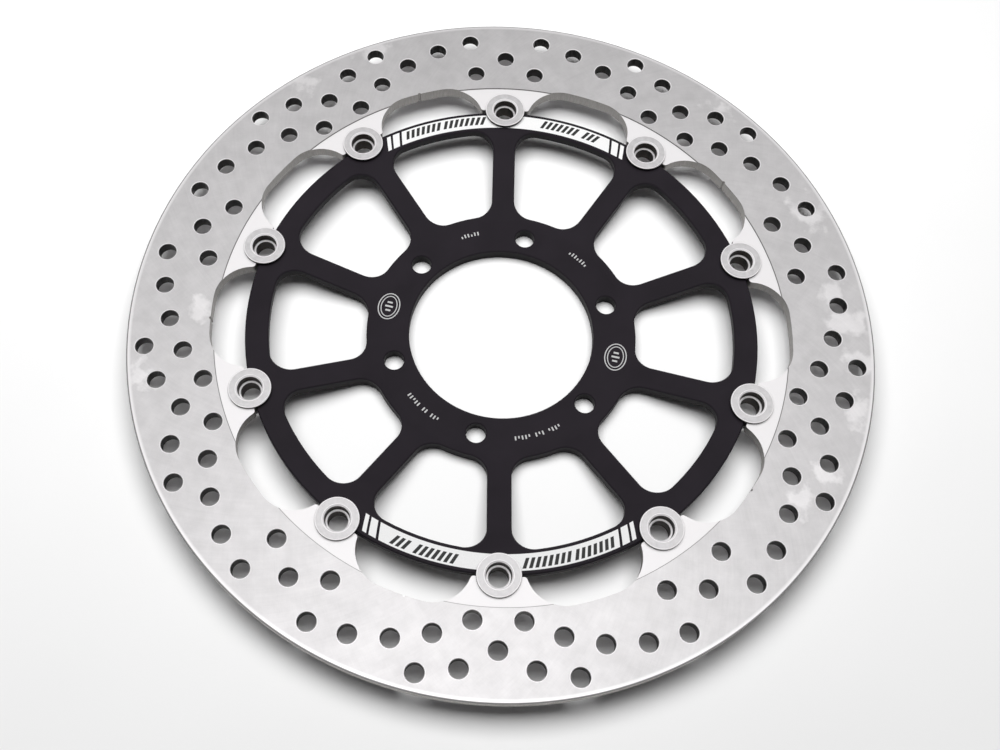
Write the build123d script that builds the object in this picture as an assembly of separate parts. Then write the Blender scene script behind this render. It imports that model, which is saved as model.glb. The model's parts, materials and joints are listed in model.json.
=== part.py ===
from build123d import *
import math
import os

os.makedirs("parts", exist_ok=True)

# A floating brake disc for a motorcycle front wheel. Millimetres, +Z towards the outer side of the
# wheel. The origin is the centre of the hub bore, on the rear face of the hub that bolts to the wheel.

# ---- driving dimensions ----
STATIONS = 10                      # bobbins, ring tabs, carrier spokes and windows
PITCH = 360 / STATIONS
FIRST_ANGLE = 90                   # station 1 is on +Y, the others follow clockwise

# friction ring
RING_OUTER_R = 155.0
RING_THICKNESS = 5.5
RING_TOP_Z = 14.2
BAND_INNER_R = 119.5               # the ground band ends here, the tabs start
TAB_RECESS = 0.4                   # how far each face of a tab lies below the ground band
TAB_END_R = 107.8
TAB_CORNER_R = 1.3
SLOT_OUTER_R = 121.2               # outer edge of the gap between two tabs
SLOT_END_R = 15.4                  # the round ends of that gap, which shape the tabs' flanks
SLOT_END_ANGLE = 4.2               # from the middle of the gap to the centre of a round end
NOTCH_R = 0.6                      # the cutter's run-in mark in the outer edge of every second gap
NOTCH_ANGLE = 0.8                  # from the middle of its gap
RING_EDGE_CHAMFER = 0.3

# cooling holes: angle and radius in one fifth of the ring, mirrored about its middle
COOLING_HOLE_R = 3.75
COOLING_HOLE_CHAMFER = 0.25
COOLING_GROUPS = 5
COOLING_SINGLE = ((0.0, 136.0), (36.0, 135.5))
COOLING_PAIRS = (
    (6.0, 128.0), (6.5, 145.7), (12.7, 142.5), (19.0, 138.0),
    (24.0, 147.7), (25.2, 132.0), (30.2, 143.3), (31.5, 124.7),
)

# carrier
BORE_R = 39.1
HUB_THICKNESS = 5.5
HUB_FLAT_R = 55.2                  # the flat top of the hub ends here and the spokes start to rise
HUB_SEAT_R = 57.5                  # outer edge of the rear face that sits on the wheel
RIM_FLAT_R = 96.6                  # the spokes end and the flat rim starts
RIM_OUTER_R = 106.8
RIM_TOP_Z = 13.2
WINDOW_INNER_R = 57.0
WINDOW_OUTER_R = 97.1
SPOKE_WIDTH = 9.7
WINDOW_HUB_FILLET = 9.0
WINDOW_RIM_FILLET = 8.5
BEND_R = 12.0                      # eases the bends where the spokes meet hub and rim
CARRIER_CHAMFER = 0.5
BOLT_CIRCLE_R = 47.0
BOLT_HOLE_R = 4.2
BOLT_COUNT = 6
BOLT_FIRST_ANGLE = 18
BOLT_HOLE_CHAMFER = 0.4

# bobbins and what holds them
BOBBIN_CIRCLE_R = 107.15
BOBBIN_BODY_R = 6.3
BOBBIN_PLAY = 0.1
FLANGE_R = 8.75
FLANGE_THICKNESS = 1.3
FLANGE_CHAMFER = 0.25
MOUTH_R = 5.1
MOUTH_CHAMFER = 0.6
MOUTH_DEPTH = 3.8
THROUGH_R = 4.0
LEDGE_CHAMFER = 0.3
BOBBIN_END_CHAMFER = 0.4
BEYOND_CLIP = 1.0
WAVE_COUNT = 3
WAVE_STRIP = 0.45                  # thickness of the spring's strip
WAVE_HEIGHT = 1.3                  # fitted height of the spring
WAVE_INNER_R = 6.5
WAVE_OUTER_R = 8.2
WAVE_SECTIONS = 18                 # sections in each half of the spring
WASHER_INNER_R = 6.45
WASHER_OUTER_R = 8.5
WASHER_THICKNESS = 0.8
CLIP_THICKNESS = 1.0
CLIP_INNER_R = 5.75
CLIP_OUTER_R = 7.7
CLIP_OFFSET = 0.45                 # makes the ring deepest opposite its gap
CLIP_GAP = 4.4
CLIP_LUG_ANGLE = 31
CLIP_LUG_CENTRE_R = 7.2
CLIP_LUG_R = 1.5
CLIP_HOLE_R = 0.65
CLIP_TURN = 127                    # each clip and spring was fitted at its own angle
SPRING_TURN = 47
GROOVE_R = 5.7
GROOVE_WIDTH = 1.1

# ---- heights worked out from them ----
RING_REAR_Z = RING_TOP_Z - RING_THICKNESS
TAB_TOP_Z = RING_TOP_Z - TAB_RECESS
TAB_REAR_Z = RING_REAR_Z + TAB_RECESS
RIM_REAR_Z = TAB_REAR_Z            # ring tabs and rim share one plane where the springs press
FLANGE_TOP_Z = TAB_TOP_Z + FLANGE_THICKNESS
SPRING_REAR_Z = TAB_REAR_Z - WAVE_HEIGHT
WASHER_REAR_Z = SPRING_REAR_Z - WASHER_THICKNESS
CLIP_REAR_Z = WASHER_REAR_Z - CLIP_THICKNESS
BOBBIN_REAR_Z = CLIP_REAR_Z - BEYOND_CLIP
POCKET_R = BOBBIN_BODY_R + BOBBIN_PLAY


def polar(radius, degrees):
    """A point in the XY plane from its radius and angle."""
    turn = math.radians(degrees)
    return (radius * math.cos(turn), radius * math.sin(turn))


def around(shape, count, first_angle):
    """Equally spaced copies of a shape about Z; the shape itself is drawn on +X."""
    return [Rot(Z=first_angle + i * 360 / count) * shape for i in range(count)]


def tube(outer_r, inner_r, low, high):
    """A plain ring between two heights."""
    return extrude(Pos(Z=low) * (Circle(outer_r) - Circle(inner_r)), high - low)


# ---- friction ring ----
def tab_gap():
    """The gap between two tabs, on +X: an outer arc, two round ends and a straight inner side."""
    start = polar(SLOT_OUTER_R, SLOT_END_ANGLE)
    centre = polar(SLOT_OUTER_R - SLOT_END_R, SLOT_END_ANGLE)
    middle_step = polar(SLOT_END_R, SLOT_END_ANGLE + 45)
    end_step = polar(SLOT_END_R, SLOT_END_ANGLE + 90)
    middle = (centre[0] + middle_step[0], centre[1] + middle_step[1])
    end = (centre[0] + end_step[0], centre[1] + end_step[1])
    flip = [(x, -y) for x, y in (start, middle, end)]
    outline = [
        ThreePointArc(flip[0], (SLOT_OUTER_R, 0), start),
        ThreePointArc(start, middle, end),
        Line(end, flip[2]),
        ThreePointArc(flip[2], flip[1], flip[0]),
    ]
    return make_face(outline)


def notches():
    """Small half-round run-in marks of the cutter, one in every second gap."""
    notch = Pos(X=SLOT_OUTER_R) * Circle(NOTCH_R)
    return around(notch, STATIONS // 2, FIRST_ANGLE + PITCH / 2 + NOTCH_ANGLE)


def cooling_holes():
    """All the cooling holes of the ring, drawn in one fifth of it and repeated."""
    places = list(COOLING_SINGLE)
    for angle, radius in COOLING_PAIRS:
        places += [(angle, radius), (-angle, radius)]
    group = [Pos(*polar(radius, angle)) * Circle(COOLING_HOLE_R) for angle, radius in places]
    turns = [FIRST_ANGLE + i * 360 / COOLING_GROUPS for i in range(COOLING_GROUPS)]
    return [Rot(Z=turn) * hole for turn in turns for hole in group]


def is_hole_edge(edge):
    """True for the rim of a cooling hole on either face of the ring."""
    return edge.geom_type == GeomType.CIRCLE and abs(edge.radius - COOLING_HOLE_R) < 0.01


def brake_ring():
    outline = Circle(RING_OUTER_R) - Circle(TAB_END_R)
    outline -= around(tab_gap(), STATIONS, FIRST_ANGLE + PITCH / 2)
    corners = [v for v in outline.vertices() if abs(math.hypot(v.X, v.Y) - TAB_END_R) < 0.01]
    outline = fillet(corners, TAB_CORNER_R)
    pocket = Pos(X=BOBBIN_CIRCLE_R) * Circle(POCKET_R)
    outline -= around(pocket, STATIONS, FIRST_ANGLE)
    outline -= notches()
    outline -= cooling_holes()
    ring = extrude(Pos(Z=RING_REAR_Z) * outline, RING_THICKNESS)
    round_edges = ring.edges().filter_by(GeomType.CIRCLE)
    rims = [e for e in round_edges if abs(e.radius - RING_OUTER_R) < 0.01 and e.length > RING_OUTER_R]
    ring = chamfer(rims, RING_EDGE_CHAMFER)
    ring = chamfer(ring.edges().filter_by(is_hole_edge), COOLING_HOLE_CHAMFER)
    ring -= Pos(Z=TAB_TOP_Z) * extrude(Circle(BAND_INNER_R), TAB_RECESS)
    ring -= Pos(Z=RING_REAR_Z) * extrude(Circle(BAND_INNER_R), TAB_RECESS)
    return ring


# ---- carrier ----
def carrier_section():
    """Half section of the dished carrier: flat hub, rising spokes and flat rim, with eased bends."""
    section = make_face(Polyline(
        (BORE_R, 0, 0), (HUB_SEAT_R, 0, 0), (RIM_FLAT_R, 0, RIM_REAR_Z), (RIM_OUTER_R, 0, RIM_REAR_Z),
        (RIM_OUTER_R, 0, RIM_TOP_Z), (RIM_FLAT_R, 0, RIM_TOP_Z), (HUB_FLAT_R, 0, HUB_THICKNESS),
        (BORE_R, 0, HUB_THICKNESS), close=True))
    bends = [v for v in section.vertices() if HUB_FLAT_R - 1 < v.X < RIM_FLAT_R + 1]
    return fillet(bends, BEND_R)


def carrier_window():
    """One window between two spokes, on +X: flanks parallel to the spokes, round inner and outer edges."""
    half_angle = PITCH / 2
    apex = SPOKE_WIDTH / 2 / math.sin(math.radians(half_angle))
    far_x, far_y = polar(2 * WINDOW_OUTER_R, half_angle)
    wedge = make_face(Polyline((apex, 0), (apex + far_x, -far_y), (apex + far_x, far_y), close=True))
    window = wedge & (Circle(WINDOW_OUTER_R) - Circle(WINDOW_INNER_R))
    inner = [v for v in window.vertices() if math.hypot(v.X, v.Y) < WINDOW_INNER_R + 1]
    window = fillet(inner, WINDOW_HUB_FILLET)
    outer = [v for v in window.vertices() if math.hypot(v.X, v.Y) > WINDOW_OUTER_R - 0.01]
    return fillet(outer, WINDOW_RIM_FILLET)


def is_outline_edge(edge):
    """True for an edge between a wall and the top or rear surface, not for a wall's own corner or a bend."""
    ends = [edge.position_at(0), edge.position_at(0.5), edge.position_at(1)]
    radii = [math.hypot(point.X, point.Y) for point in ends]
    upright = math.hypot(ends[0].X - ends[2].X, ends[0].Y - ends[2].Y) < 0.01 and edge.length < RIM_TOP_Z
    concentric = max(radii) - min(radii) < 0.005
    wall_radii = (BORE_R, WINDOW_INNER_R, WINDOW_OUTER_R, RIM_OUTER_R)
    on_wall = any(abs(radii[0] - radius) < 0.02 for radius in wall_radii)
    return not upright and (on_wall or not concentric)


def carrier():
    body = revolve(carrier_section(), Axis.Z)
    windows = around(carrier_window(), STATIONS, FIRST_ANGLE + PITCH / 2)
    body -= [extrude(window, RIM_TOP_Z) for window in windows]
    body = chamfer(body.edges().filter_by(is_outline_edge), CARRIER_CHAMFER)
    pocket = Pos(X=BOBBIN_CIRCLE_R) * Circle(POCKET_R)
    body -= [extrude(p, RIM_TOP_Z) for p in around(pocket, STATIONS, FIRST_ANGLE)]
    hole = Pos(X=BOLT_CIRCLE_R) * Circle(BOLT_HOLE_R)
    body -= [extrude(h, HUB_THICKNESS) for h in around(hole, BOLT_COUNT, BOLT_FIRST_ANGLE)]
    hole_edges = body.edges().filter_by(GeomType.CIRCLE)
    hole_edges = [e for e in hole_edges if abs(e.radius - BOLT_HOLE_R) < 0.01]
    return chamfer(hole_edges, BOLT_HOLE_CHAMFER)


# ---- bobbin and the parts on its rear end, drawn about Z and moved to their station afterwards ----
def bobbin():
    groove_top = CLIP_REAR_Z + GROOVE_WIDTH
    outline = Polyline(
        (THROUGH_R, 0, BOBBIN_REAR_Z),
        (BOBBIN_BODY_R - BOBBIN_END_CHAMFER, 0, BOBBIN_REAR_Z),
        (BOBBIN_BODY_R, 0, BOBBIN_REAR_Z + BOBBIN_END_CHAMFER),
        (BOBBIN_BODY_R, 0, CLIP_REAR_Z),
        (GROOVE_R, 0, CLIP_REAR_Z),
        (GROOVE_R, 0, groove_top),
        (BOBBIN_BODY_R, 0, groove_top),
        (BOBBIN_BODY_R, 0, TAB_TOP_Z),
        (FLANGE_R, 0, TAB_TOP_Z),
        (FLANGE_R, 0, FLANGE_TOP_Z - FLANGE_CHAMFER),
        (FLANGE_R - FLANGE_CHAMFER, 0, FLANGE_TOP_Z),
        (MOUTH_R + MOUTH_CHAMFER, 0, FLANGE_TOP_Z),
        (MOUTH_R, 0, FLANGE_TOP_Z - MOUTH_CHAMFER),
        (MOUTH_R, 0, FLANGE_TOP_Z - MOUTH_DEPTH),
        (THROUGH_R + LEDGE_CHAMFER, 0, FLANGE_TOP_Z - MOUTH_DEPTH),
        (THROUGH_R, 0, FLANGE_TOP_Z - MOUTH_DEPTH - LEDGE_CHAMFER),
        close=True)
    return revolve(make_face(outline), Axis.Z)


def wave_spring():
    """A wavy ring of flat strip, lofted through upright sections in two halves."""
    swing = (WAVE_HEIGHT - WAVE_STRIP) / 2
    middle_z = SPRING_REAR_Z + WAVE_HEIGHT / 2
    middle_r = (WAVE_INNER_R + WAVE_OUTER_R) / 2
    strip = Plane.XZ * Rectangle(WAVE_OUTER_R - WAVE_INNER_R, WAVE_STRIP)
    sections = []
    for i in range(WAVE_SECTIONS + 1):
        angle = 180 * i / WAVE_SECTIONS
        height = middle_z + swing * math.cos(math.radians(WAVE_COUNT * angle))
        sections.append(Rot(Z=angle) * Pos(middle_r, 0, height) * strip)
    first_half = loft(sections)
    second_half = mirror(first_half, Plane.XZ)
    return first_half + second_half


def flat_washer():
    return tube(WASHER_OUTER_R, WASHER_INNER_R, WASHER_REAR_Z, SPRING_REAR_Z)


def circlip():
    """An external retaining ring: deepest opposite its gap, with a holed lug at each end."""
    body = Pos(X=-CLIP_OFFSET) * Circle(CLIP_OUTER_R)
    lugs = [Pos(*polar(CLIP_LUG_CENTRE_R, side * CLIP_LUG_ANGLE)) * Circle(CLIP_LUG_R) for side in (-1, 1)]
    holes = [Pos(*polar(CLIP_LUG_CENTRE_R, side * CLIP_LUG_ANGLE)) * Circle(CLIP_HOLE_R) for side in (-1, 1)]
    gap = Pos(X=CLIP_OUTER_R) * Rectangle(2 * CLIP_OUTER_R, CLIP_GAP)
    outline = body + lugs - Circle(CLIP_INNER_R) - gap - holes
    return extrude(Pos(Z=CLIP_REAR_Z) * outline, CLIP_THICKNESS)


# ---- build and write every node ----
def write(shape, name, colour):
    shape.label = name
    shape.color = Color(*colour)
    export_step(shape, "parts/" + name + ".step")


def main():
    steel = (0.62, 0.61, 0.60)
    bright = (0.75, 0.74, 0.72)
    black = (0.05, 0.05, 0.055)
    write(brake_ring(), "brake_ring", steel)
    write(carrier(), "carrier", black)
    sets = (
        ("bobbin", bobbin(), bright, 0),
        ("wave_spring", wave_spring(), steel, SPRING_TURN),
        ("flat_washer", flat_washer(), steel, 0),
        ("circlip", circlip(), black, CLIP_TURN),
    )
    for station in range(STATIONS):
        angle = FIRST_ANGLE - station * PITCH
        place = Pos(*polar(BOBBIN_CIRCLE_R, angle))
        for name, shape, colour, turn in sets:
            node = place * Rot(Z=angle + station * turn) * shape
            write(node, "%s_%02d" % (name, station + 1), colour)


main()
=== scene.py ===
import json
import math

import bmesh
import bpy
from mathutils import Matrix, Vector


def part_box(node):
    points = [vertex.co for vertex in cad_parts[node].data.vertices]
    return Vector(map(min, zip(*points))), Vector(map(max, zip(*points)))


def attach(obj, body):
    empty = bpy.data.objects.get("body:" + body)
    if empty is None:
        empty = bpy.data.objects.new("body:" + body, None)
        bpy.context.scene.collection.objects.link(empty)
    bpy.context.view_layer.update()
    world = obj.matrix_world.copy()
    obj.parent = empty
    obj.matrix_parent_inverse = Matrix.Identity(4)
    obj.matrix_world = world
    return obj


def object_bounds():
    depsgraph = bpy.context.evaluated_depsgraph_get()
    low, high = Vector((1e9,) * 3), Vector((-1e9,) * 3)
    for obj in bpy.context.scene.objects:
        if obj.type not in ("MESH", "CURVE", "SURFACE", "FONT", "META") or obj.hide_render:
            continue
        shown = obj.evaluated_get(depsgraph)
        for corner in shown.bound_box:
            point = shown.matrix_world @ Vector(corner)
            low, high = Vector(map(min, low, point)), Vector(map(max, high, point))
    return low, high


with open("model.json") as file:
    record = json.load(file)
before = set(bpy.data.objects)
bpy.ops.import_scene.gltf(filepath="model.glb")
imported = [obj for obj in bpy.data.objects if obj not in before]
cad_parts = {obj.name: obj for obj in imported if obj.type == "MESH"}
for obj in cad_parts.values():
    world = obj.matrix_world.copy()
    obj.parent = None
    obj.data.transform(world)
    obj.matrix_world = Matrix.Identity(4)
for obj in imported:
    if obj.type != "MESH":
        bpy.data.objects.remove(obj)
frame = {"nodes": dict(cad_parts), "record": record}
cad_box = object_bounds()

# Looks of a floating brake disc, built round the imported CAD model. Metres, in the CAD's own frame:
# +Z is the outer side of the disc and +Y goes through the first bobbin.
MM = 0.001

# ---- sizes read from the frame ----
nodes = frame["nodes"]
mounts = {mount["name"]: mount for mount in frame["record"]["mounts"]}
STATIONS = sum(name.startswith("bobbin_") for name in nodes)
PITCH = math.radians(360 / STATIONS)
_, carrier_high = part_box("carrier")
bobbin_low, bobbin_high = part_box("bobbin_01")
BOBBIN_CIRCLE_R = (bobbin_low.y + bobbin_high.y) / 2
FIRST_ANGLE = 90
FIRST_TURN = math.radians(FIRST_ANGLE)
RIM_TOP_Z = carrier_high.z
HUB_TOP_Z = mounts["hub_front_face"]["pos_m"][2]
FLOOR_Z = cad_box[0].z

# ---- sizes of the print, in metres and degrees ----
INK_THICKNESS = 0.03 * MM
BAND_INNER_R = 98.55 * MM               # the two white bands on the rim
BAND_OUTER_R = 105.2 * MM
BAND_HALF_ANGLE = 27.85
BAND_LEAN = 1.50                        # how much nearer to the middle the ends are at the outer edge
BAND_STEPS = 432                        # fine enough for the curve round the bobbin's pocket
POCKET_CLEARANCE_R = 6.7 * MM           # the print stops just short of the bobbin's pocket
END_BARS = ((28.5, 30.25), (30.85, 31.85))
UPPER_BAND_TURN = -0.3                  # the upper band was printed a little off its bobbin
STRIPE_INNER_R = 100.3 * MM             # slanted black stripes on the white bands
STRIPE_OUTER_R = 104.4 * MM
STRIPE_LEAN = -0.95
STRIPE_WIDTH = 0.80
STRIPE_PITCH = 1.36
STRIPE_GROUPS = ((-26.2, 7), (-16.2, 8), (8.8, 7), (19.6, 3))   # where each starts, and its number

TICK_PITCH = 1.45 * MM
TICK_WIDTH = 0.62 * MM
TICK_HEIGHT = 1.75 * MM
SHORT_TICK = 0.62                       # ticks at every third place have this much of the full height
TICK_ROWS = (                           # place on the hub, angle, radius and number in each group
    ("upper_left", 107.0, 48.9 * MM, (6,)),
    ("upper_right", 47.9, 49.3 * MM, (7,)),
    ("lower_right", -71.2, 48.3 * MM, (4, 3, 5)),
    ("lower_left", -132.0, 48.0 * MM, (3, 2, 5)),
)
ROUND_MARKS = (("left", 167.5), ("right", -11.7))
ROUND_MARK_R = 49.2 * MM
ROUND_MARK_OVALS = (                    # half height, half width and line width
    (4.7 * MM, 6.3 * MM, 0.45 * MM),
    (3.5 * MM, 5.0 * MM, 0.4 * MM),
)
MIDDLE_BAR_HEIGHT = 3.4 * MM
SIDE_BAR_HEIGHT = 2.2 * MM
BAR_PITCH = 1.9 * MM
BAR_WIDTH = 0.8 * MM

# ---- sizes of the finishes and of the painted highlights and shade, in millimetres and degrees ----
SHARP = 0.05                            # half the width of a sharp change of finish
GROUND_BAND_R = 119.5                   # the tabs start inside it
STEP_SHADOW_SPAN = (0.32, 0.22)              # painted shadow: the step's corner darkens between these distances inside it
OUTER_WALL_R = 154.0                    # walls outside it belong to the outer edge
SLOT_WALL_R = 122.5                     # walls inside it look as those of the slots and pockets do
WALL_CHANGE = 0.5                       # width of the change from one cut wall to another
FRINGE_HIGHLIGHT_R = (152.9, 153.9)               # the friction face grows brighter between them: a painted highlight of the rounded outer edge
RIM_LINE_R = 154.4                      # outside it the face and its chamfer carry a painted dark reflection
COOLING_PITCH = 72.0                    # the cooling holes repeat at this angle, mirrored within it
COOLING_HOLE_R = 3.75
HOLE_RIM = (0.47, 0.37)                 # a hole's bright rim, deburred steel with a painted highlight, fades out between these distances from it
COOLING_HOLES = (                       # angle and radius of each hole in half a repeat
    (0.0, 136.0), (6.0, 128.0), (6.5, 145.7), (12.7, 142.5), (19.0, 138.0),
    (24.0, 147.7), (25.2, 132.0), (30.2, 143.3), (31.5, 124.7), (36.0, 135.5),
)
BAND_SMEARS = (                         # centre x, y and size of pale wiped patches on the friction face
    (144.0, 6.0, 7.0), (139.5, 20.0, 5.0), (148.0, -12.0, 6.0), (146.5, -33.0, 6.5),
    (133.0, 58.0, 6.5), (97.0, 112.0, 5.0), (-60.0, 138.0, 6.0), (-93.0, 119.0, 5.0),
    (119.0, -72.0, 5.5), (129.0, -61.0, 4.0), (-147.0, -29.0, 5.0), (-126.0, 3.0, 4.5),
)
FLANGE_R = 8.75                         # the bobbins, each about its own axis
FLANGE_HIGHLIGHT = (0.45, 0.35)              # a painted highlight: the flange turns bright between these distances inside its edge
MOUTH_R = 5.1
MOUTH_HIGHLIGHT_WIDTH = 0.85                     # width of the painted highlight round the mouth
LEDGE_HIGHLIGHT_R = 4.75                     # the ledge in the bore has a painted highlight inside it

# ---- brightness of the finishes and of the painted highlights and shade ----
GROUND_LEVEL = 0.51
# deburred rims round the holes with a painted highlight, and a painted highlight along the outer edge
DEBURR_AND_HIGHLIGHT_LEVEL = 0.86
SMEAR_GAIN = 0.18
TAB_LEVEL = 0.77
# painted shadow in the corner of the tabs' step
STEP_SHADOW_LEVEL = 0.22
# painted dark reflection on the outer edge's face and chamfer
RIM_PAINTED_DARK_LEVEL = 0.26
# drilled hole walls, darker than the steel's own tone as painted shade in the holes
HOLE_WALL_SHADED_LEVEL = 0.03
SLOT_WALL_LEVEL = 0.28
OUTER_WALL_LEVEL = 0.50
# painted highlight on the disc's chamfers
CHAMFER_HIGHLIGHT_LEVEL = 0.92
FLANGE_LEVEL = 0.62
# painted shade on the bobbins' outer walls, standing in for the shadow under the flange
FLANGE_WALL_SHADE_LEVEL = 0.02
# painted highlight on the bobbins' chamfers and rings
HIGHLIGHT_PAINT_LEVEL = 0.95
# painted shade on the ledge deep in the bore
LEDGE_SHADE_LEVEL = 0.10
# painted shade on the brown bore walls
BORE_SHADE_LEVEL = 0.03

# ---- camera ----
CAMERA_PLACE = (-0.01945, -0.21841, 0.45345)
CAMERA_TURN = (23.227, -1.199, 1.386)   # degrees about X, then Y, then Z
CAMERA_LENS = 42.34
CAMERA_SHIFT = (0.0350, 0.0124)

# ---- the room ----
FLOOR_HALF = 4.0                        # metres
FLOOR_FULL_R = 200.0                    # millimetres: the floor is solid inside it
FLOOR_GONE_R = 620.0
ROOM_FILL = 0.04
ROOM_REFLECTED = 0.60
ROOM_SEEN = 0.95
SOFTBOXES = {                           # x, y and height of the centre, width, depth and radiance
    "key": (-0.05, 0.21, 0.80, 0.90, 0.60, 5.9),
    "near_card": (0.0, 0.08, 1.20, 0.65, 0.60, 1.0),
    "far_card": (-0.15, 0.25, 1.25, 2.2, 1.7, 0.34),
}


def polar(radius, degrees):
    turn = math.radians(degrees)
    return (radius * math.cos(turn), radius * math.sin(turn))


# ---- node helpers ----
class Graph:
    """Builds one material. Values may be numbers, tuples or the sockets that earlier calls return."""

    def __init__(self, name):
        self.material = bpy.data.materials.new(name)
        self.material.use_nodes = True
        self.tree = self.material.node_tree
        self.tree.nodes.clear()
        self.shader = self.add("ShaderNodeBsdfPrincipled")
        self.output = self.add("ShaderNodeOutputMaterial")
        self.tree.links.new(self.shader.outputs["BSDF"], self.output.inputs["Surface"])

    def add(self, kind, **settings):
        node = self.tree.nodes.new(kind)
        for name, value in settings.items():
            setattr(node, name, value)
        return node

    def feed(self, socket, value):
        if isinstance(value, bpy.types.NodeSocket):
            self.tree.links.new(value, socket)
        elif value is not None:
            socket.default_value = value

    def math(self, operation, a, b=None, clamp=False):
        node = self.add("ShaderNodeMath", operation=operation, use_clamp=clamp)
        self.feed(node.inputs[0], a)
        self.feed(node.inputs[1], b)
        return node.outputs[0]

    def plus(self, *terms):
        """The sum of its terms."""
        total = terms[0]
        for term in terms[1:]:
            total = self.math("ADD", total, term)
        return total

    def times(self, a, b):
        return self.math("MULTIPLY", a, b)

    def spread(self, value, size):
        """A value between 0 and 1, moved to lie about 0 and made this large."""
        return self.times(self.math("SUBTRACT", value, 0.5), size)

    def vector(self, operation, a, b=None, scale=None):
        node = self.add("ShaderNodeVectorMath", operation=operation)
        self.feed(node.inputs[0], a)
        self.feed(node.inputs[1], b)
        if scale is not None:
            self.feed(node.inputs["Scale"], scale)
        return node.outputs["Value" if operation in ("LENGTH", "DISTANCE") else "Vector"]

    def rise(self, value, start, end, low=0.0, high=1.0):
        """Goes from low to high as value goes from start to end, and stays there."""
        node = self.add("ShaderNodeMapRange", clamp=True)
        self.feed(node.inputs["Value"], value)
        for name, number in (("From Min", start), ("From Max", end), ("To Min", low), ("To Max", high)):
            self.feed(node.inputs[name], number)
        return node.outputs["Result"]

    def mix(self, share, a, b):
        """A blend of two numbers."""
        node = self.add("ShaderNodeMix", data_type="FLOAT")
        self.feed(node.inputs["Factor"], share)
        self.feed(node.inputs[2], a)
        self.feed(node.inputs[3], b)
        return node.outputs[0]

    def noise(self, vector, scale, detail=2.0, roughness=0.5):
        node = self.add("ShaderNodeTexNoise", noise_dimensions="3D")
        self.feed(node.inputs["Vector"], vector)
        self.feed(node.inputs["Scale"], scale)
        self.feed(node.inputs["Detail"], detail)
        self.feed(node.inputs["Roughness"], roughness)
        return node.outputs["Fac"]

    def place(self):
        """Where a point is in the row frame, in millimetres."""
        coordinates = self.add("ShaderNodeTexCoord")
        return self.vector("SCALE", coordinates.outputs["Object"], scale=1 / MM)

    def flat(self, vector):
        """The same point with its height taken away."""
        return self.vector("MULTIPLY", vector, (1, 1, 0))

    def radius(self, vector):
        """Distance from the Z axis."""
        return self.vector("LENGTH", self.flat(vector))

    def split(self, vector):
        node = self.add("ShaderNodeSeparateXYZ")
        self.feed(node.inputs[0], vector)
        return node.outputs

    def join(self, x, y, z):
        node = self.add("ShaderNodeCombineXYZ")
        for socket, value in zip(node.inputs, (x, y, z)):
            self.feed(socket, value)
        return node.outputs[0]

    def tinted(self, level, red, blue):
        """A nearly neutral colour: green is the level, red and blue are shares of it."""
        return self.join(self.times(level, red), level, self.times(level, blue))

    def upright(self):
        """How far the surface faces up or down: 1 on a flat face, 0 on a wall."""
        geometry = self.add("ShaderNodeNewGeometry")
        return self.math("ABSOLUTE", self.split(geometry.outputs["True Normal"])[2])

    def between(self, face, wall):
        """The chamfers: 1 where the surface is neither a face nor a wall."""
        return self.math("SUBTRACT", 1.0, self.math("MAXIMUM", face, wall), clamp=True)

    def turned(self, vector, angle):
        """The point turned about Z by an angle in radians."""
        node = self.add("ShaderNodeVectorRotate", rotation_type="Z_AXIS")
        self.feed(node.inputs["Vector"], vector)
        self.feed(node.inputs["Angle"], angle)
        return node.outputs[0]

    def at_bobbin(self, place):
        """Position relative to the axis of the nearest bobbin, in millimetres."""
        x, y, _ = self.split(place)
        past_first = self.math("SUBTRACT", self.math("ARCTAN2", y, x), FIRST_TURN)
        station = self.math("ROUND", self.math("DIVIDE", past_first, PITCH))
        angle = self.plus(self.times(station, PITCH), FIRST_TURN)
        turned = self.turned(place, self.times(angle, -1.0))
        return self.vector("SUBTRACT", turned, (BOBBIN_CIRCLE_R / MM, 0, 0))

    def bump(self, height, depth):
        """A relief of the given depth in metres, where height goes from 0 to 1."""
        node = self.add("ShaderNodeBump")
        self.feed(node.inputs["Strength"], 1.0)
        self.feed(node.inputs["Distance"], depth)
        self.feed(node.inputs["Height"], height)
        return node.outputs["Normal"]

    def finish(self, colour, roughness, normal=None, metallic=1.0, specular=0.5):
        inputs = self.shader.inputs
        self.feed(inputs["Base Color"], colour)
        self.feed(inputs["Roughness"], roughness)
        self.feed(inputs["Normal"], normal)
        self.feed(inputs["Metallic"], metallic)
        self.feed(inputs["Specular IOR Level"], specular)
        return self.material


# ---- materials ----
def spiral_lines(graph, place, twist, fineness, length):
    """Streaks along a spiral about Z: fine across, long along, without a seam."""
    flat = graph.flat(place)
    radius = graph.vector("LENGTH", flat)
    turned = graph.turned(flat, graph.times(radius, twist))
    direction = graph.vector("SCALE", graph.vector("NORMALIZE", turned), scale=fineness)
    x, y, _ = graph.split(direction)
    return graph.noise(graph.join(x, y, graph.math("DIVIDE", radius, length)), 1.0, 1.0)


def smears(graph, place):
    """Pale wiped patches with ragged borders: 1 inside a patch and 0 away from it."""
    flat = graph.flat(place)
    border = graph.noise(place, 0.13, 3.0, 0.55)
    total = 0.0
    for x, y, size in BAND_SMEARS:
        away = graph.vector("LENGTH", graph.vector("SUBTRACT", flat, (x, y, 0)))
        near = graph.math("SUBTRACT", border, graph.math("DIVIDE", away, 6.0 * size))
        total = graph.math("MAXIMUM", total, graph.rise(near, 0.30, 0.46))
    return total


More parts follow.
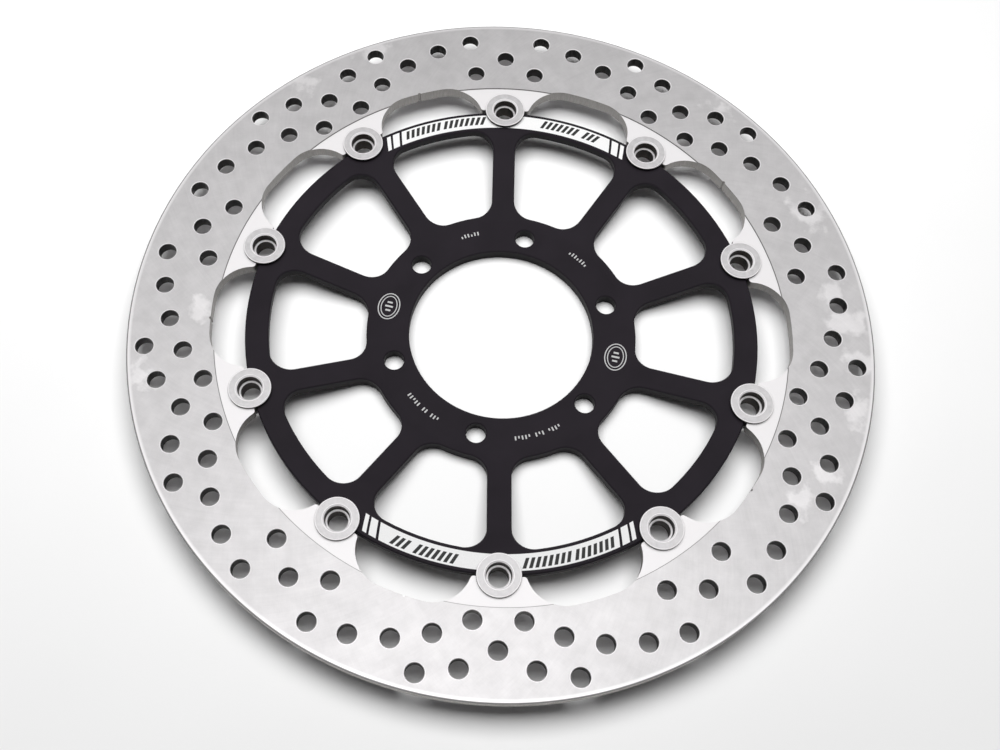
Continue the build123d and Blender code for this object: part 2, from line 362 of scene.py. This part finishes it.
def deburr_and_highlight_rims(graph, place, radius):
    """A line round each hole, where the friction face was deburred, brightened further as a painted
    highlight, and a painted highlight on a fringe at the outer edge.
    """
    x, y, _ = graph.split(place)
    angle = graph.math("SUBTRACT", graph.math("ARCTAN2", y, x), FIRST_TURN)
    pitch = math.radians(COOLING_PITCH)
    group = graph.math("ROUND", graph.math("DIVIDE", angle, pitch))
    folded = graph.math("ABSOLUTE", graph.math("SUBTRACT", angle, graph.times(group, pitch)))
    across = graph.times(radius, graph.math("COSINE", folded))
    along = graph.times(radius, graph.math("SINE", folded))
    point = graph.join(across, along, 0.0)
    nearest = 100.0
    for hole_angle, hole_radius in COOLING_HOLES:
        centre = polar(hole_radius, hole_angle) + (0.0,)
        nearest = graph.math("MINIMUM", nearest, graph.vector("DISTANCE", point, centre))
    start, end = HOLE_RIM
    line = graph.rise(nearest, COOLING_HOLE_R + start, COOLING_HOLE_R + end)
    return graph.math("MAXIMUM", line, graph.rise(radius, *FRINGE_HIGHLIGHT_R))


def disc_steel():
    """Ground friction faces, white blasted tabs, dark drilled holes with painted shade, and cut walls;
    painted highlights and a painted dark reflection at the edges.
    """
    graph = Graph("disc_steel")
    place = graph.place()
    radius = graph.radius(place)
    upright = graph.upright()
    face = graph.rise(upright, 0.85, 0.95)
    wall = graph.rise(upright, 0.5, 0.3)
    edge = graph.between(face, wall)
    ground = graph.rise(radius, GROUND_BAND_R - SHARP, GROUND_BAND_R + SHARP)
    rim_painted_dark = graph.rise(radius, RIM_LINE_R - SHARP, RIM_LINE_R + SHARP)

    # the crossing marks of the grinding wheel, with faint clouds
    left = spiral_lines(graph, place, 0.0075, 420.0, 11.0)
    right = spiral_lines(graph, place, -0.0075, 420.0, 13.0)
    coarse = spiral_lines(graph, place, 0.0068, 90.0, 30.0)
    marks = graph.times(graph.plus(left, right), 0.5)
    clouds = graph.noise(place, 0.035, 3.0, 0.55)
    patches = graph.rise(graph.noise(place, 0.16, 4.0, 0.6), 0.35, 0.7, -0.025, 0.04)
    ground_level = graph.plus(GROUND_LEVEL, graph.times(marks, 0.08), graph.times(coarse, 0.05))
    ground_level = graph.plus(ground_level, graph.times(clouds, 0.10), patches)
    ground_level = graph.plus(ground_level, graph.times(smears(graph, place), SMEAR_GAIN))
    # deburred hole rims and painted highlights round the holes and along the outer edge
    ground_level = graph.mix(deburr_and_highlight_rims(graph, place, radius), ground_level, DEBURR_AND_HIGHLIGHT_LEVEL)
    # painted dark reflection at the very outer edge of the friction face
    ground_level = graph.mix(rim_painted_dark, ground_level, RIM_PAINTED_DARK_LEVEL)
    ground_rough = graph.rise(clouds, 0.35, 0.65, 0.34, 0.42)

    # the tabs, blasted before the friction faces were ground, with a painted shadow in the corner of the step
    grit = graph.noise(place, 5.0, 3.0, 0.6)
    start, end = STEP_SHADOW_SPAN
    step_shadow = graph.rise(radius, GROUND_BAND_R - start, GROUND_BAND_R - end)
    tab_level = graph.plus(TAB_LEVEL, graph.times(grit, 0.10))
    tab_level = graph.mix(step_shadow, tab_level, STEP_SHADOW_LEVEL)
    level = graph.mix(ground, tab_level, ground_level)
    rough = graph.mix(ground, 0.48, ground_rough)
    metal = graph.mix(ground, 0.6, 1.0)

    # walls: the outer edge is turned, the slots are laser cut, the cooling holes are drilled and their walls
    # darkened further as painted shade
    outer = graph.rise(radius, OUTER_WALL_R - WALL_CHANGE, OUTER_WALL_R)
    inner = graph.rise(radius, SLOT_WALL_R, SLOT_WALL_R - WALL_CHANGE)
    streaks = graph.noise(graph.vector("MULTIPLY", place, (4.0, 4.0, 0.25)), 1.0, 2.0)
    cut_level = graph.mix(inner, HOLE_WALL_SHADED_LEVEL, SLOT_WALL_LEVEL)
    cut_level = graph.mix(outer, cut_level, OUTER_WALL_LEVEL)
    cut_level = graph.times(cut_level, graph.rise(streaks, 0.25, 0.75, 0.8, 1.2))
    level = graph.mix(wall, level, cut_level)
    rough = graph.mix(wall, rough, 0.45)
    metal = graph.mix(wall, metal, 0.7)

    # painted highlight on the chamfers, except the outer edge's, which gets the painted dark reflection
    level = graph.mix(edge, level, graph.mix(rim_painted_dark, CHAMFER_HIGHLIGHT_LEVEL, RIM_PAINTED_DARK_LEVEL))
    rough = graph.mix(edge, rough, 0.5)
    metal = graph.mix(edge, metal, 0.5)

    colour = graph.tinted(level, graph.mix(wall, 1.022, 1.04), graph.mix(wall, 1.010, 0.96))
    relief = graph.mix(ground, grit, marks)
    relief = graph.mix(wall, relief, streaks)
    return graph.finish(colour, rough, graph.bump(relief, 0.004 * MM), metallic=metal)


def black_anodised():
    """Satin black anodised aluminium over a fine blasted surface, with painted shade darkening its walls."""
    graph = Graph("black_anodised")
    place = graph.place()
    upright = graph.upright()
    edge = graph.times(graph.rise(upright, 0.5, 0.6), graph.rise(upright, 0.9, 0.8))
    grain = graph.noise(place, 6.0, 3.0, 0.65)
    clouds = graph.noise(place, 0.06, 3.0)
    level = graph.rise(clouds, 0.3, 0.7, 0.013, 0.017)
    level = graph.mix(edge, level, 0.017)
    # painted shade: walls at half the brightness of the faces
    level = graph.times(level, graph.rise(upright, 0.4, 0.6, 0.5, 1.0))
    colour = graph.join(graph.times(level, 1.06), graph.times(level, 0.89), graph.times(level, 1.12))
    rough = graph.rise(clouds, 0.3, 0.7, 0.42, 0.50)
    return graph.finish(colour, rough, graph.bump(grain, 0.006 * MM), metallic=0.0, specular=0.08)


def turned_rings(graph, local, fineness):
    """Fine rings about the axis that local positions are measured from."""
    radius = graph.radius(local)
    height = graph.split(local)[2]
    across = graph.times(radius, fineness)
    along = graph.times(height, fineness)
    return graph.noise(graph.join(across, 0.0, along), 1.0, 2.0, 0.6)


def bobbin_steel():
    """A turned bobbin: brushed flange; painted highlights on its chamfers, round the mouth, along the
    flange's edge and on the ledge; painted shade on the flange's edge wall, the ledge and the brown bore.
    """
    graph = Graph("bobbin_steel")
    place = graph.place()
    local = graph.at_bobbin(place)
    radius = graph.radius(local)
    upright = graph.upright()
    rings = turned_rings(graph, local, 9.0)
    clouds = graph.noise(place, 0.4, 3.0)
    face = graph.rise(upright, 0.85, 0.95)
    wall = graph.rise(upright, 0.4, 0.2)
    edge = graph.between(face, wall)

    level = graph.plus(FLANGE_LEVEL, graph.spread(rings, 0.20), graph.spread(clouds, 0.30))
    # inside the mouth the ledge gets painted shade
    bore = graph.rise(radius, MOUTH_R + 0.15, MOUTH_R + 0.05)
    level = graph.mix(bore, level, LEDGE_SHADE_LEVEL)

    # painted highlights: round the mouth, along the flange's edge and on the ledge; they go by the distance
    # from the axis alone, so the rear end of the bobbin shows the inner ones too
    mouth_inside = graph.rise(radius, MOUTH_R + 0.1, MOUTH_R + 0.2)
    mouth_outside = graph.rise(radius, MOUTH_R + MOUTH_HIGHLIGHT_WIDTH, MOUTH_R + MOUTH_HIGHLIGHT_WIDTH - 0.1)
    start, end = FLANGE_HIGHLIGHT
    flange_highlight = graph.rise(radius, FLANGE_R - start, FLANGE_R - end)
    ledge_highlight = graph.rise(radius, LEDGE_HIGHLIGHT_R + SHARP, LEDGE_HIGHLIGHT_R - SHARP)
    painted_highlight = graph.math("MAXIMUM", flange_highlight, ledge_highlight)
    painted_highlight = graph.math("MAXIMUM", graph.times(mouth_inside, mouth_outside), painted_highlight)
    level = graph.mix(painted_highlight, level, HIGHLIGHT_PAINT_LEVEL)

    # the flange's edge wall and the brown bore are painted dark as shade
    shaded_wall_level = graph.mix(bore, FLANGE_WALL_SHADE_LEVEL, BORE_SHADE_LEVEL)
    shaded_wall_level = graph.times(shaded_wall_level, graph.rise(rings, 0.3, 0.7, 0.7, 1.3))
    level = graph.mix(wall, level, shaded_wall_level)
    # painted highlight on the bobbin's chamfers
    level = graph.mix(edge, level, HIGHLIGHT_PAINT_LEVEL)
    colour = graph.tinted(level, graph.mix(wall, 1.022, 1.20), graph.mix(wall, 1.012, 0.84))
    rough = graph.mix(edge, graph.rise(clouds, 0.3, 0.7, 0.42, 0.52), 0.6)
    metal = graph.mix(edge, 0.85, 0.5)
    return graph.finish(colour, rough, graph.bump(rings, 0.004 * MM), metallic=metal)


def turned_steel(name, level, warmth, roughness, line_scale):
    """Turned steel: fine rings about the axis of the nearest bobbin."""
    graph = Graph(name)
    place = graph.place()
    rings = turned_rings(graph, graph.at_bobbin(place), line_scale)
    clouds = graph.noise(place, 0.4, 3.0)
    shade = graph.plus(level, graph.spread(rings, 0.16), graph.spread(clouds, 0.08))
    colour = graph.tinted(shade, 1 + warmth, 1 - warmth)
    rough = graph.rise(clouds, 0.3, 0.7, roughness - 0.04, roughness + 0.06)
    return graph.finish(colour, rough, graph.bump(rings, 0.004 * MM))


def black_phosphate():
    """Dark phosphated spring steel with a fine crystalline grain."""
    graph = Graph("black_phosphate")
    grain = graph.noise(graph.place(), 9.0, 3.0, 0.6)
    level = graph.rise(grain, 0.3, 0.7, 0.035, 0.075)
    colour = graph.tinted(level, 1.0, 1.03)
    rough = graph.rise(grain, 0.3, 0.7, 0.45, 0.6)
    return graph.finish(colour, rough, graph.bump(grain, 0.004 * MM), metallic=0.6)


def ink(name, low, high):
    """Matt printing ink with faint mottling."""
    graph = Graph(name)
    grain = graph.noise(graph.place(), 3.0, 3.0, 0.6)
    level = graph.rise(grain, 0.3, 0.7, low, high)
    colour = graph.join(level, level, level)
    rough = graph.rise(grain, 0.3, 0.7, 0.5, 0.62)
    return graph.finish(colour, rough, graph.bump(grain, 0.003 * MM), metallic=0.0)


def dress(node_prefix, material):
    """Gives every CAD node whose name starts so its material."""
    for name, node in nodes.items():
        if name.startswith(node_prefix):
            node.data.materials.clear()
            node.data.materials.append(material)


# ---- printed pieces ----
def add_sheet(mesh, point, across, along, low, high, closed=False):
    """Adds a thin closed layer: point(u, v) is its plan, with u and v from 0 to 1."""
    rows = along if closed else along + 1
    levels = []
    for height in (low, high):
        grid = []
        for j in range(rows):
            row = [point(i / across, j / along) for i in range(across + 1)]
            grid.append([mesh.verts.new((x, y, height)) for x, y in row])
        levels.append(grid)
    bottom, top = levels
    for j in range(along):
        k = (j + 1) % rows
        for i in range(across):
            mesh.faces.new((top[j][i], top[j][i + 1], top[k][i + 1], top[k][i]))
            mesh.faces.new((bottom[j][i], bottom[k][i], bottom[k][i + 1], bottom[j][i + 1]))
        for i, flip in ((0, False), (across, True)):
            side = (top[j][i], top[k][i], bottom[k][i], bottom[j][i])
            mesh.faces.new(side[::-1] if flip else side)
    if not closed:
        for j, flip in ((0, True), (along, False)):
            for i in range(across):
                side = (top[j][i], top[j][i + 1], bottom[j][i + 1], bottom[j][i])
                mesh.faces.new(side[::-1] if flip else side)


def make_piece(name, mesh, material, body):
    """Turns a bmesh into a named piece that rides on a CAD body."""
    bmesh.ops.recalc_face_normals(mesh, faces=mesh.faces)
    data = bpy.data.meshes.new(name)
    mesh.to_mesh(data)
    mesh.free()
    data.materials.append(material)
    piece = bpy.data.objects.new(name, data)
    bpy.context.scene.collection.objects.link(piece)
    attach(piece, body)


def band_outer_radius(offset):
    """Outer edge of the white band at an angle from the bobbin, in radians: it goes round the pocket."""
    sideways = BOBBIN_CIRCLE_R * math.sin(offset)
    if abs(sideways) >= POCKET_CLEARANCE_R:
        return BAND_OUTER_R
    reach = math.sqrt(POCKET_CLEARANCE_R ** 2 - sideways ** 2)
    return min(BAND_OUTER_R, BOBBIN_CIRCLE_R * math.cos(offset) - reach)


def white_band(name, middle, material):
    """One printed band over the rim with two bars at each end."""
    mesh = bmesh.new()
    low = RIM_TOP_Z
    high = RIM_TOP_Z + INK_THICKNESS

    def band_point(u, v):
        half = BAND_HALF_ANGLE - u * BAND_LEAN
        offset = (2 * v - 1) * half
        outer = band_outer_radius(math.radians(offset))
        return polar(BAND_INNER_R + u * (outer - BAND_INNER_R), middle + offset)

    add_sheet(mesh, band_point, 4, BAND_STEPS, low, high)
    for side in (-1, 1):
        for start, end in END_BARS:
            def bar_point(u, v, start=start, end=end, side=side):
                radius = BAND_INNER_R + u * (BAND_OUTER_R - BAND_INNER_R)
                return polar(radius, middle + side * (start + v * (end - start) - u * BAND_LEAN))

            add_sheet(mesh, bar_point, 2, 10, low, high)
    make_piece(name, mesh, material, "carrier")


def stripe_marks(name, middle, material):
    """Plain slanted stripes on a white band, in two groups left and two right of the bobbin."""
    mesh = bmesh.new()
    low = RIM_TOP_Z + INK_THICKNESS
    high = low + INK_THICKNESS
    for first, count in STRIPE_GROUPS:
        for number in range(count):
            def stripe_point(u, v, start=first + number * STRIPE_PITCH):
                radius = STRIPE_INNER_R + u * (STRIPE_OUTER_R - STRIPE_INNER_R)
                return polar(radius, middle - start - v * STRIPE_WIDTH + u * STRIPE_LEAN)

            add_sheet(mesh, stripe_point, 1, 4, low, high)
    make_piece(name, mesh, material, "carrier")


def tick_row(name, middle, radius, counts, material):
    """A row of short plain ticks on the hub, in groups, where a real disc has its markings."""
    mesh = bmesh.new()
    low = HUB_TOP_Z
    high = HUB_TOP_Z + INK_THICKNESS
    pitch = math.degrees(TICK_PITCH / radius)
    width = math.degrees(TICK_WIDTH / radius)
    places = sum(counts) + len(counts) - 1
    place = 0
    for count in counts:
        for _ in range(count):
            centre = middle + ((places - 1) / 2 - place) * pitch
            tall = TICK_HEIGHT * (1.0 if place % 3 else SHORT_TICK)

            def tick_point(u, v, centre=centre, tall=tall):
                return polar(radius - TICK_HEIGHT / 2 + u * tall, centre + (v - 0.5) * width)

            add_sheet(mesh, tick_point, 1, 1, low, high)
            place += 1
        place += 1
    make_piece(name, mesh, material, "carrier")


def round_mark(name, angle, material):
    """Two plain oval rings, one inside the other, with three short bars in them."""
    mesh = bmesh.new()
    low = HUB_TOP_Z
    high = HUB_TOP_Z + INK_THICKNESS
    centre_x, centre_y = polar(ROUND_MARK_R, angle)
    turn = math.radians(angle)

    def on_hub(across, along):
        """From the mark's own axes, outward and sideways, to the disc's."""
        return (centre_x + across * math.cos(turn) - along * math.sin(turn),
                centre_y + across * math.sin(turn) + along * math.cos(turn))

    for half_height, half_width, line in ROUND_MARK_OVALS:
        def oval_point(u, v, half_height=half_height, half_width=half_width, line=line):
            step = 2 * math.pi * v
            return on_hub((half_height - u * line) * math.cos(step), (half_width - u * line) * math.sin(step))

        add_sheet(mesh, oval_point, 1, 72, low, high, closed=True)
    for side in (-1, 0, 1):
        def bar_point(u, v, side=side):
            tall = SIDE_BAR_HEIGHT if side else MIDDLE_BAR_HEIGHT
            return on_hub((u - 0.5) * tall, side * BAR_PITCH + (v - 0.5) * BAR_WIDTH)

        add_sheet(mesh, bar_point, 1, 1, low, high)
    make_piece(name, mesh, material, "carrier")


def dress_bodies():
    dress("brake_ring", disc_steel())
    dress("carrier", black_anodised())
    dress("bobbin_", bobbin_steel())
    dress("wave_spring_", turned_steel("spring_steel", 0.46, 0.02, 0.3, 4.0))
    dress("flat_washer_", turned_steel("washer_steel", 0.56, -0.01, 0.28, 3.0))
    dress("circlip_", black_phosphate())


def print_marks():
    white_ink = ink("white_ink", 0.74, 0.82)
    black_ink = ink("black_ink", 0.008, 0.016)
    pale_ink = ink("pale_ink", 0.42, 0.56)
    for side, middle in (("upper", FIRST_ANGLE + UPPER_BAND_TURN), ("lower", FIRST_ANGLE + 180)):
        white_band("rim_band_" + side, middle, white_ink)
        stripe_marks("rim_stripes_" + side, middle, black_ink)
    for corner, angle, radius, counts in TICK_ROWS:
        tick_row("hub_ticks_" + corner, angle, radius, counts, pale_ink)
    for side, angle in ROUND_MARKS:
        round_mark("hub_mark_" + side, angle, pale_ink)


# ---- stage ----
def fade_into_room(graph, radius):
    """Lets the floor fade into the pale room round it, so that it has no hard edge."""
    clear = graph.add("ShaderNodeBsdfTransparent")
    blend = graph.add("ShaderNodeMixShader")
    graph.feed(blend.inputs["Fac"], graph.rise(radius, FLOOR_FULL_R, FLOOR_GONE_R))
    graph.feed(blend.inputs[1], graph.shader.outputs["BSDF"])
    graph.feed(blend.inputs[2], clear.outputs["BSDF"])
    graph.feed(graph.output.inputs["Surface"], blend.outputs["Shader"])


def make_floor():
    graph = Graph("pale_floor")
    place = graph.place()
    level = graph.rise(graph.noise(place, 0.01, 2.0), 0.3, 0.7, 0.90, 0.92)
    material = graph.finish(graph.join(level, level, level), 0.7, metallic=0.0, specular=0.08)
    fade_into_room(graph, graph.radius(place))
    data = bpy.data.meshes.new("floor")
    corners = [(-FLOOR_HALF, -FLOOR_HALF), (FLOOR_HALF, -FLOOR_HALF),
               (FLOOR_HALF, FLOOR_HALF), (-FLOOR_HALF, FLOOR_HALF)]
    data.from_pydata([(x, y, FLOOR_Z) for x, y in corners], [], [(0, 1, 2, 3)])
    data.materials.append(material)
    floor = bpy.data.objects.new("floor", data)
    bpy.context.scene.collection.objects.link(floor)


def softbox(name):
    """A rectangular light of even brightness that faces straight down."""
    x, y, height, width, depth, radiance = SOFTBOXES[name]
    data = bpy.data.lights.new(name, "AREA")
    data.shape = "RECTANGLE"
    data.size = width
    data.size_y = depth
    data.energy = radiance * math.pi * width * depth
    light = bpy.data.objects.new(name, data)
    light.location = (x, y, height)
    light.rotation_mode = "QUATERNION"
    light.rotation_quaternion = Vector((0, 0, -height)).to_track_quat("-Z", "Y")
    bpy.context.scene.collection.objects.link(light)
    return light


def make_lights():
    """A softbox over the far side throws the soft shadows; two white cards shape the reflections."""
    softbox("key").visible_glossy = False
    softbox("near_card").visible_diffuse = False
    softbox("far_card").visible_diffuse = False


def make_world():
    """A pale room: white to the camera, soft in reflections and dim as fill light."""
    world = bpy.data.worlds.new("studio")
    world.use_nodes = True
    tree = world.node_tree
    background = tree.nodes["Background"]
    background.inputs["Color"].default_value = (1.0, 1.0, 1.0, 1)
    rays = tree.nodes.new("ShaderNodeLightPath")
    reflected = tree.nodes.new("ShaderNodeMix")
    reflected.inputs[2].default_value = ROOM_FILL
    reflected.inputs[3].default_value = ROOM_REFLECTED
    seen = tree.nodes.new("ShaderNodeMix")
    seen.inputs[3].default_value = ROOM_SEEN
    tree.links.new(rays.outputs["Is Glossy Ray"], reflected.inputs["Factor"])
    tree.links.new(reflected.outputs[0], seen.inputs[2])
    tree.links.new(rays.outputs["Is Camera Ray"], seen.inputs["Factor"])
    tree.links.new(seen.outputs[0], background.inputs["Strength"])
    bpy.context.scene.world = world


def make_camera():
    """Above the near side of the disc, rolled a little to the right."""
    data = bpy.data.cameras.new("camera")
    data.lens = CAMERA_LENS
    data.sensor_width = 36.0
    data.shift_x, data.shift_y = CAMERA_SHIFT
    data.clip_start = 0.01
    data.clip_end = 20.0
    camera = bpy.data.objects.new("camera", data)
    camera.location = CAMERA_PLACE
    camera.rotation_euler = [math.radians(angle) for angle in CAMERA_TURN]
    bpy.context.scene.collection.objects.link(camera)
    bpy.context.scene.camera = camera


dress_bodies()
print_marks()
make_floor()
make_world()
make_lights()
make_camera()
bpy.context.scene.view_settings.view_transform = "Standard"
